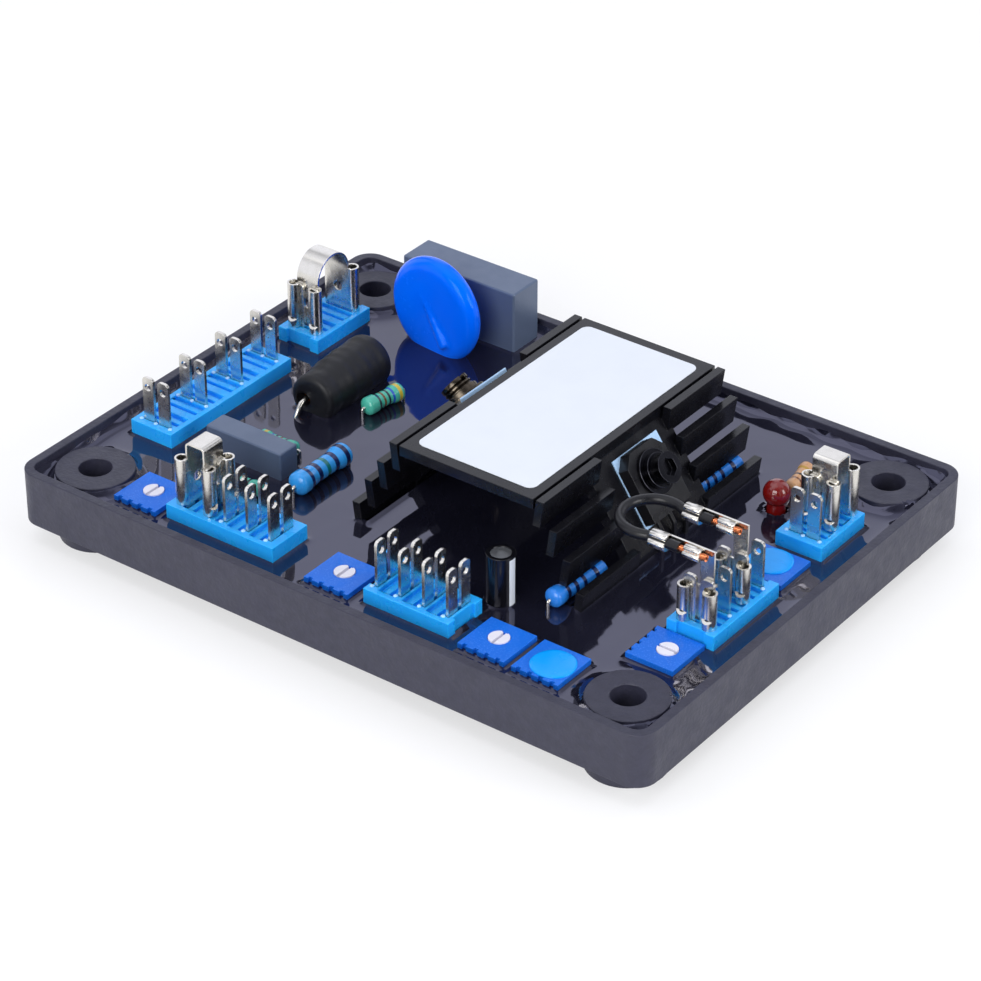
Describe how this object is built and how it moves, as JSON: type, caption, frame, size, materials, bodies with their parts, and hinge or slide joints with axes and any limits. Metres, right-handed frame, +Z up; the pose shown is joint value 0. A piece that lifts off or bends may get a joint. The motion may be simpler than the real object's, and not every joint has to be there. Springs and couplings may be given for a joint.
{
  "type": "automatic voltage regulator",
  "caption": "Potted automatic voltage regulator: a shallow tray with bolt bosses, a finned heatsink arch, push-on terminal blocks with links, trimmers and leaded components set in resin.",
  "frame": {"origin": "centre of the footprint at the bottom of the feet", "axes": "+X along the long side of the tray, +Y from the trimmer row to the rear, +Z up out of the tray"},
  "size_m": [0.135, 0.1, 0.0304],
  "materials": {
    "tray_plastic": "fine satin texture",
    "board_laminate": "satin",
    "potting_resin": "gloss",
    "black_anodised": "satin black",
    "label_film": "matte",
    "block_plastic": "satin",
    "tinned_brass": "bright tin",
    "wire_insulation": "satin",
    "copper_strands": "bright",
    "trimmer_plastic": "satin",
    "rotor_plastic": "satin",
    "sealing_lacquer": "gloss",
    "varistor_epoxy": "gloss",
    "capacitor_case": "satin",
    "shrink_sleeve": "satin",
    "coil_copper": "enamelled",
    "resistor_blue": "gloss lacquer",
    "resistor_green": "gloss lacquer",
    "resistor_beige": "gloss lacquer",
    "can_aluminium": "bright",
    "lamp_lens": "gloss",
    "device_epoxy": "satin",
    "insulating_film": "matte",
    "black_steel": "black oxide",
    "nickel_steel": "nickel"
  },
  "bodies": {
    "regulator": {"tray": "tray_plastic", "circuit_board": "board_laminate", "potting_resin": "potting_resin", "heatsink": "black_anodised", "label": "label_film", "terminal_block_front_left": "block_plastic", "terminal_block_left": "block_plastic", "terminal_block_rear_left": "block_plastic", "terminal_block_front_middle": "block_plastic", "terminal_block_right": "block_plastic", "terminal_block_rear_right": "block_plastic", "tabs_front_left": "tinned_brass", "tabs_left": "tinned_brass", "tabs_rear_left": "tinned_brass", "tabs_front_middle": "tinned_brass", "tabs_right": "tinned_brass", "tabs_rear_right": "tinned_brass", "link_front_left": "tinned_brass", "link_rear_left": "tinned_brass", "link_rear_right": "tinned_brass", "wire_terminal_front": "tinned_brass", "wire_terminal_rear": "tinned_brass", "wire_insulation": "wire_insulation", "wire_strands": "copper_strands", "trimmer_1": "trimmer_plastic", "trimmer_2": "trimmer_plastic", "trimmer_3": "trimmer_plastic", "trimmer_4": "trimmer_plastic", "trimmer_5": "trimmer_plastic", "trimmer_6": "trimmer_plastic", "sealed_rotors": "rotor_plastic", "sealing_dots": "sealing_lacquer", "varistor": "varistor_epoxy", "large_capacitor": "capacitor_case", "small_capacitor": "capacitor_case", "choke_sleeve": "shrink_sleeve", "choke_coil": "coil_copper", "power_resistor": "resistor_blue", "green_resistor": "resistor_green", "small_green_resistors": "resistor_green", "fin_resistors": "resistor_blue", "front_resistor": "resistor_blue", "beige_resistor": "resistor_beige", "electrolytic_can": "can_aluminium", "electrolytic_sleeve": "shrink_sleeve", "indicator_lamp": "lamp_lens", "power_device_right": "device_epoxy", "power_device_left": "device_epoxy", "insulating_sheets": "insulating_film", "socket_screw": "black_steel", "slotted_screw": "nickel_steel", "flat_washers": "nickel_steel", "spring_washers": "nickel_steel"},
    "rotor_1_body": {"rotor_1": "rotor_plastic"},
    "rotor_2_body": {"rotor_2": "rotor_plastic"},
    "rotor_3_body": {"rotor_3": "rotor_plastic"},
    "rotor_5_body": {"rotor_5": "rotor_plastic"}
  },
  "joints": [
    {"name": "rotor_1_turn", "type": "hinge", "parent": "regulator", "child": "rotor_1_body", "pos_m": [-0.045, -0.0387, 0.0128], "axis": [0, 0, 1], "range_deg": [-135, 135]},
    {"name": "rotor_2_turn", "type": "hinge", "parent": "regulator", "child": "rotor_2_body", "pos_m": [-0.0021, -0.0387, 0.0128], "axis": [0, 0, 1], "range_deg": [-135, 135]},
    {"name": "rotor_3_turn", "type": "hinge", "parent": "regulator", "child": "rotor_3_body", "pos_m": [0.0306, -0.0387, 0.0128], "axis": [0, 0, 1], "range_deg": [-135, 135]},
    {"name": "rotor_5_turn", "type": "hinge", "parent": "regulator", "child": "rotor_5_body", "pos_m": [0.0548, -0.02475, 0.0128], "axis": [0, 0, 1], "range_deg": [-135, 135]}
  ]
}
